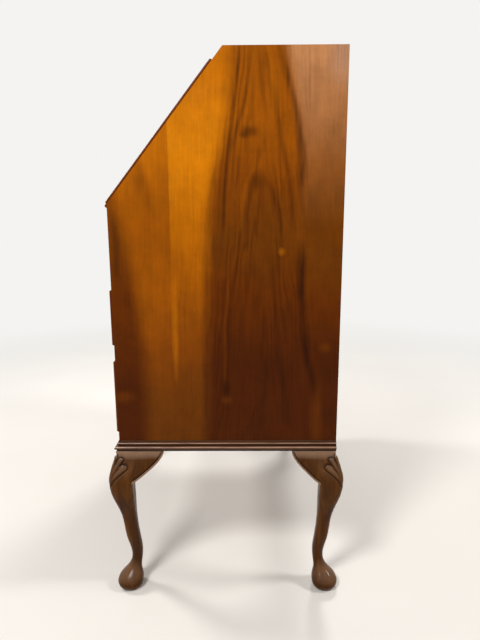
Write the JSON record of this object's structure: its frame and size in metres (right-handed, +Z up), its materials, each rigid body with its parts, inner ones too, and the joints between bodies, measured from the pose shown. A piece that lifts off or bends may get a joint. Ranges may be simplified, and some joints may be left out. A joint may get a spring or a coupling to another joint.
{
  "type": "fall-front bureau",
  "caption": "Fall-front writing bureau on cabriole legs: lipped drawers under a sloping flap that folds down onto pull-out bearers, with a pigeonhole gallery behind it.",
  "frame": {"origin": "on the floor under the middle of the four legs", "axes": "+Z up, the front faces -Y, +X is the desk's right-hand side for someone facing its front"},
  "size_m": [0.752, 0.453, 1.02],
  "materials": {
    "figured_walnut": "polished veneer",
    "solid_walnut": "polished",
    "oak": "bare",
    "brass": "aged",
    "steel": "dull",
    "leather": "satin"
  },
  "bodies": {
    "carcase": {"side_panel_right": "figured_walnut", "side_panel_left": "figured_walnut", "top_board": "figured_walnut", "lock_rail": "solid_walnut", "strike_plate": "brass", "writing_board": "solid_walnut", "bottom_board": "oak", "back_panel": "oak", "upper_rail": "solid_walnut", "lower_rail": "solid_walnut", "loper_guides": "oak", "drawer_runners": "oak", "waist_moulding_front": "solid_walnut", "waist_moulding_right": "solid_walnut", "waist_moulding_left": "solid_walnut", "base_back_rail": "oak", "leg_front_left": "solid_walnut", "leg_front_right": "solid_walnut", "leg_back_left": "solid_walnut", "leg_back_right": "solid_walnut", "knee_ears": "solid_walnut", "case_screws": "steel", "hinge_leaves_case": "brass", "hinge_pins": "brass", "hinge_screws_case": "brass", "gallery_shelf": "solid_walnut", "gallery_dividers": "solid_walnut", "gallery_valance": "solid_walnut"},
    "fall": {"fall_board": "figured_walnut", "fall_leather": "leather", "hinge_leaves_fall": "brass", "hinge_screws_fall": "brass", "lock_case": "brass", "escutcheon": "brass"},
    "key": {"key": "steel"},
    "lock_bolt": {"lock_bolt": "steel"},
    "loper_right": {"loper_right": "solid_walnut", "loper_knob_right": "brass"},
    "loper_left": {"loper_left": "solid_walnut", "loper_knob_left": "brass"},
    "bottom_drawer": {"bottom_drawer_front": "figured_walnut", "bottom_drawer_box": "oak", "bottom_drawer_handle_plates": "brass"},
    "bottom_bail_right": {"bottom_drawer_bail_right": "brass"},
    "bottom_bail_left": {"bottom_drawer_bail_left": "brass"},
    "middle_drawer": {"middle_drawer_front": "figured_walnut", "middle_drawer_box": "oak", "middle_drawer_handle_plates": "brass"},
    "middle_bail_right": {"middle_drawer_bail_right": "brass"},
    "middle_bail_left": {"middle_drawer_bail_left": "brass"},
    "top_drawer": {"top_drawer_front": "figured_walnut", "top_drawer_box": "oak", "top_drawer_handle_plates": "brass"},
    "top_bail_right": {"top_drawer_bail_right": "brass"},
    "top_bail_left": {"top_drawer_bail_left": "brass"},
    "pen_drawer_right": {"pen_drawer_right": "solid_walnut", "pen_drawer_knob_right": "brass"},
    "pen_drawer_left": {"pen_drawer_left": "solid_walnut", "pen_drawer_knob_left": "brass"}
  },
  "joints": [
    {"name": "fall_hinge", "type": "hinge", "parent": "carcase", "child": "fall", "pos_m": [0, -0.19911, 0.75], "axis": [1, 0, 0], "range_deg": [0, 129]},
    {"name": "key_turn", "type": "hinge", "parent": "fall", "child": "key", "pos_m": [0, -0.04074, 0.96146], "axis": [0, -0.7771, 0.6293], "range_deg": [0, 90]},
    {"name": "bolt_slide", "type": "slide", "parent": "fall", "child": "lock_bolt", "axis": [0, 0.6293, 0.7771], "range_m": [0, 0.009]},
    {"name": "loper_right_slide", "type": "slide", "parent": "carcase", "child": "loper_right", "axis": [0, -1, 0], "range_m": [0, 0.26]},
    {"name": "loper_left_slide", "type": "slide", "parent": "carcase", "child": "loper_left", "axis": [0, -1, 0], "range_m": [0, 0.26]},
    {"name": "bottom_drawer_slide", "type": "slide", "parent": "carcase", "child": "bottom_drawer", "axis": [0, -1, 0], "range_m": [0, 0.3]},
    {"name": "bottom_bail_right_swing", "type": "hinge", "parent": "bottom_drawer", "child": "bottom_bail_right", "pos_m": [0.19, -0.2224, 0.4125], "axis": [-1, 0, 0], "range_deg": [0, 90]},
    {"name": "bottom_bail_left_swing", "type": "hinge", "parent": "bottom_drawer", "child": "bottom_bail_left", "pos_m": [-0.19, -0.2224, 0.4125], "axis": [-1, 0, 0], "range_deg": [0, 90]},
    {"name": "middle_drawer_slide", "type": "slide", "parent": "carcase", "child": "middle_drawer", "axis": [0, -1, 0], "range_m": [0, 0.3]},
    {"name": "middle_bail_right_swing", "type": "hinge", "parent": "middle_drawer", "child": "middle_bail_right", "pos_m": [0.19, -0.2224, 0.5655], "axis": [-1, 0, 0], "range_deg": [0, 90]},
    {"name": "middle_bail_left_swing", "type": "hinge", "parent": "middle_drawer", "child": "middle_bail_left", "pos_m": [-0.19, -0.2224, 0.5655], "axis": [-1, 0, 0], "range_deg": [0, 90]},
    {"name": "top_drawer_slide", "type": "slide", "parent": "carcase", "child": "top_drawer", "axis": [0, -1, 0], "range_m": [0, 0.3]},
    {"name": "top_bail_right_swing", "type": "hinge", "parent": "top_drawer", "child": "top_bail_right", "pos_m": [0.19, -0.2224, 0.69125], "axis": [-1, 0, 0], "range_deg": [0, 90]},
    {"name": "top_bail_left_swing", "type": "hinge", "parent": "top_drawer", "child": "top_bail_left", "pos_m": [-0.19, -0.2224, 0.69125], "axis": [-1, 0, 0], "range_deg": [0, 90]},
    {"name": "pen_drawer_right_slide", "type": "slide", "parent": "carcase", "child": "pen_drawer_right", "axis": [0, -1, 0], "range_m": [0, 0.14]},
    {"name": "pen_drawer_left_slide", "type": "slide", "parent": "carcase", "child": "pen_drawer_left", "axis": [0, -1, 0], "range_m": [0, 0.14]}
  ],
  "couplings": [
    {"joint": "bolt_slide", "follows": "key_turn", "m_per_rad": 0.0057296}
  ]
}
